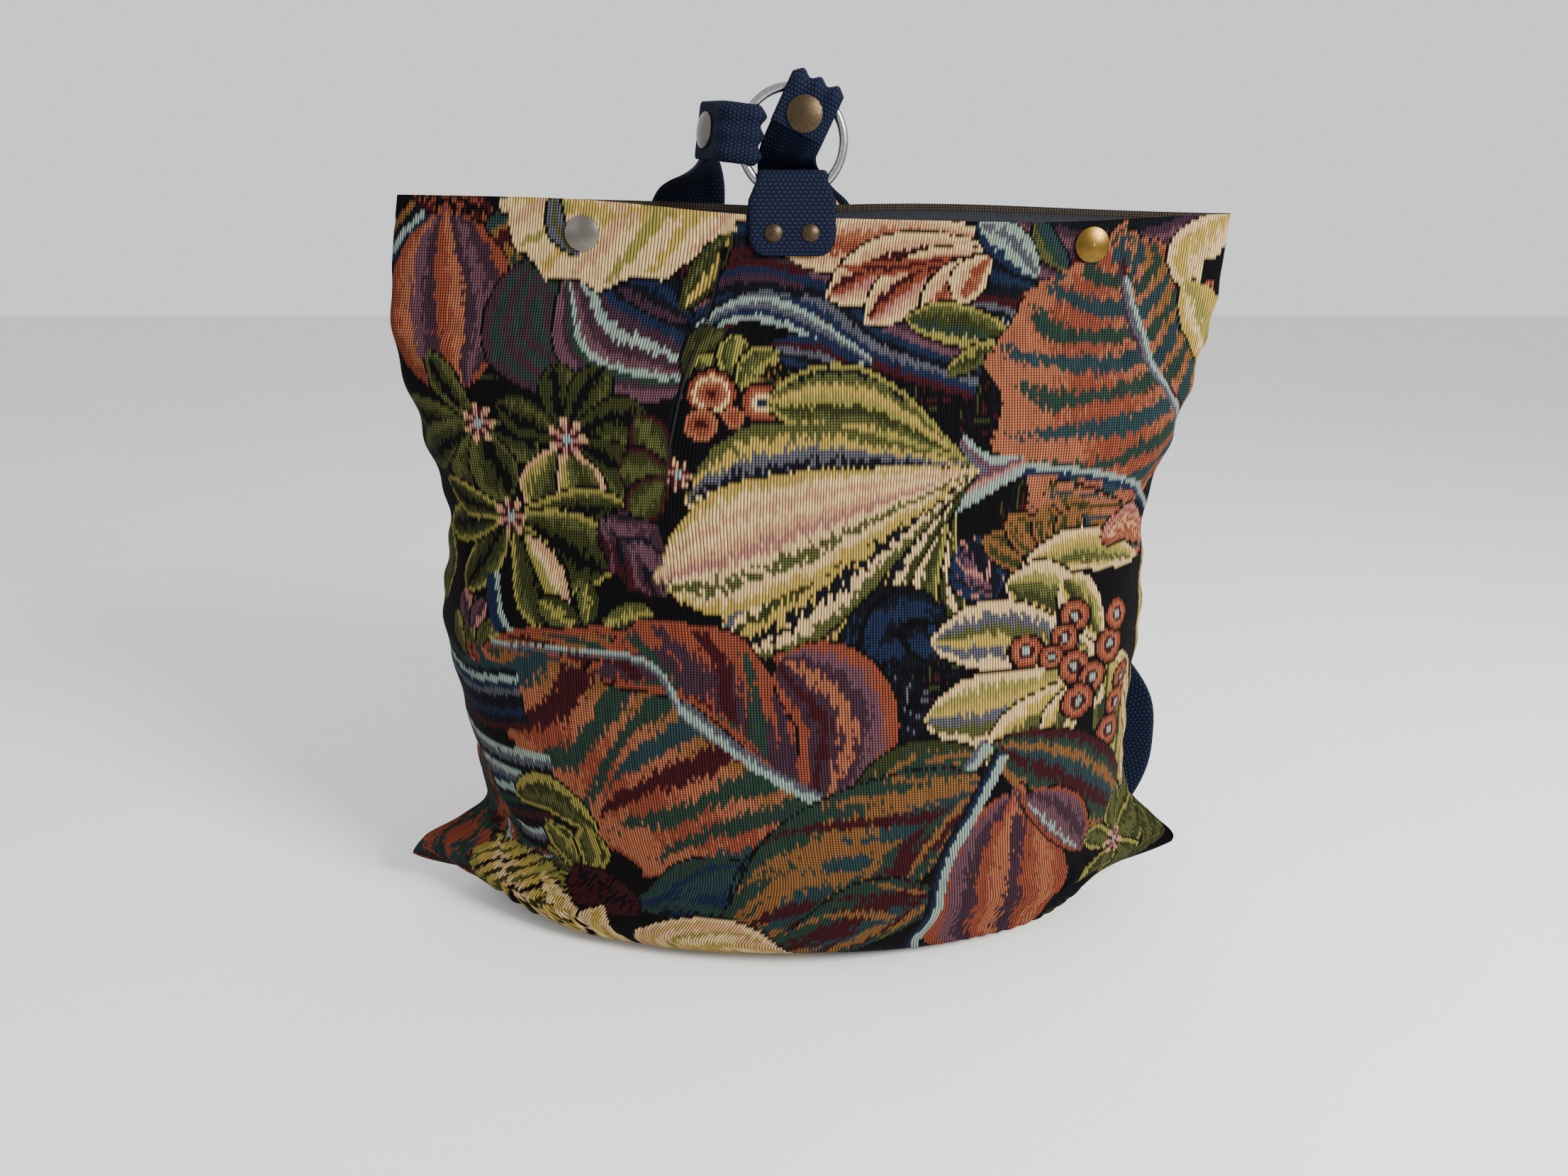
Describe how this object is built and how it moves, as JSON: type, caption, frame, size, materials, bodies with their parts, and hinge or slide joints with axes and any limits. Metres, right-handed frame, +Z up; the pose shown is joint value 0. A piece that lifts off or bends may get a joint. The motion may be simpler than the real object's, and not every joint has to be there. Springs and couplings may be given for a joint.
{
  "type": "backpack",
  "caption": "Soft open-mouthed backpack sewn from woven floral brocade, with a slash pocket, press snaps and webbing straps gathered on a steel ring at the front rim.",
  "frame": {"origin": "on the floor, under the middle of the bag's seam plane", "axes": "+Z up, -Y to the front panel with the slash pocket, +X to the viewer's right from the front"},
  "size_m": [0.4043, 0.2074, 0.4024],
  "materials": {
    "tapestry": "ribbed jacquard weave with a floral pattern",
    "lining": "smooth nylon",
    "webbing": "worn plain-weave webbing",
    "backing": "brushed backing cloth",
    "ring_steel": "polished, a little worn",
    "nickel": "nickel plate",
    "bright_brass": "polished",
    "antique_brass": "dull antique"
  },
  "bodies": {
    "bag": {"back_panel": "tapestry", "front_panel": "tapestry", "front_tab": "webbing", "lining": "lining", "pocket_bag": "lining", "pocket_binding": "lining", "rim_snap_left_cap": "nickel", "rim_snap_left_eyelet": "nickel", "rim_snap_left_socket": "nickel", "rim_snap_left_stud": "nickel", "rim_snap_right_cap": "bright_brass", "rim_snap_right_eyelet": "nickel", "rim_snap_right_socket": "nickel", "rim_snap_right_stud": "nickel", "strap_backing_left": "backing", "strap_backing_right": "backing", "strap_left": "webbing", "strap_right": "webbing", "strap_snap_left_cap": "antique_brass", "strap_snap_left_eyelet": "nickel", "strap_snap_left_socket": "nickel", "strap_snap_left_stud": "nickel", "strap_snap_right_cap": "antique_brass", "strap_snap_right_eyelet": "nickel", "strap_snap_right_socket": "nickel", "strap_snap_right_stud": "nickel", "tab_rivet_left": "antique_brass", "tab_rivet_right": "antique_brass", "tab_washer_left": "antique_brass", "tab_washer_right": "antique_brass"},
    "ring": {"ring": "ring_steel"}
  },
  "joints": [
    {"name": "ring_turn", "type": "hinge", "parent": "bag", "child": "ring", "pos_m": [-0.0015, -0.0154, 0.37383], "axis": [0, 1, 0], "continuous": true}
  ]
}
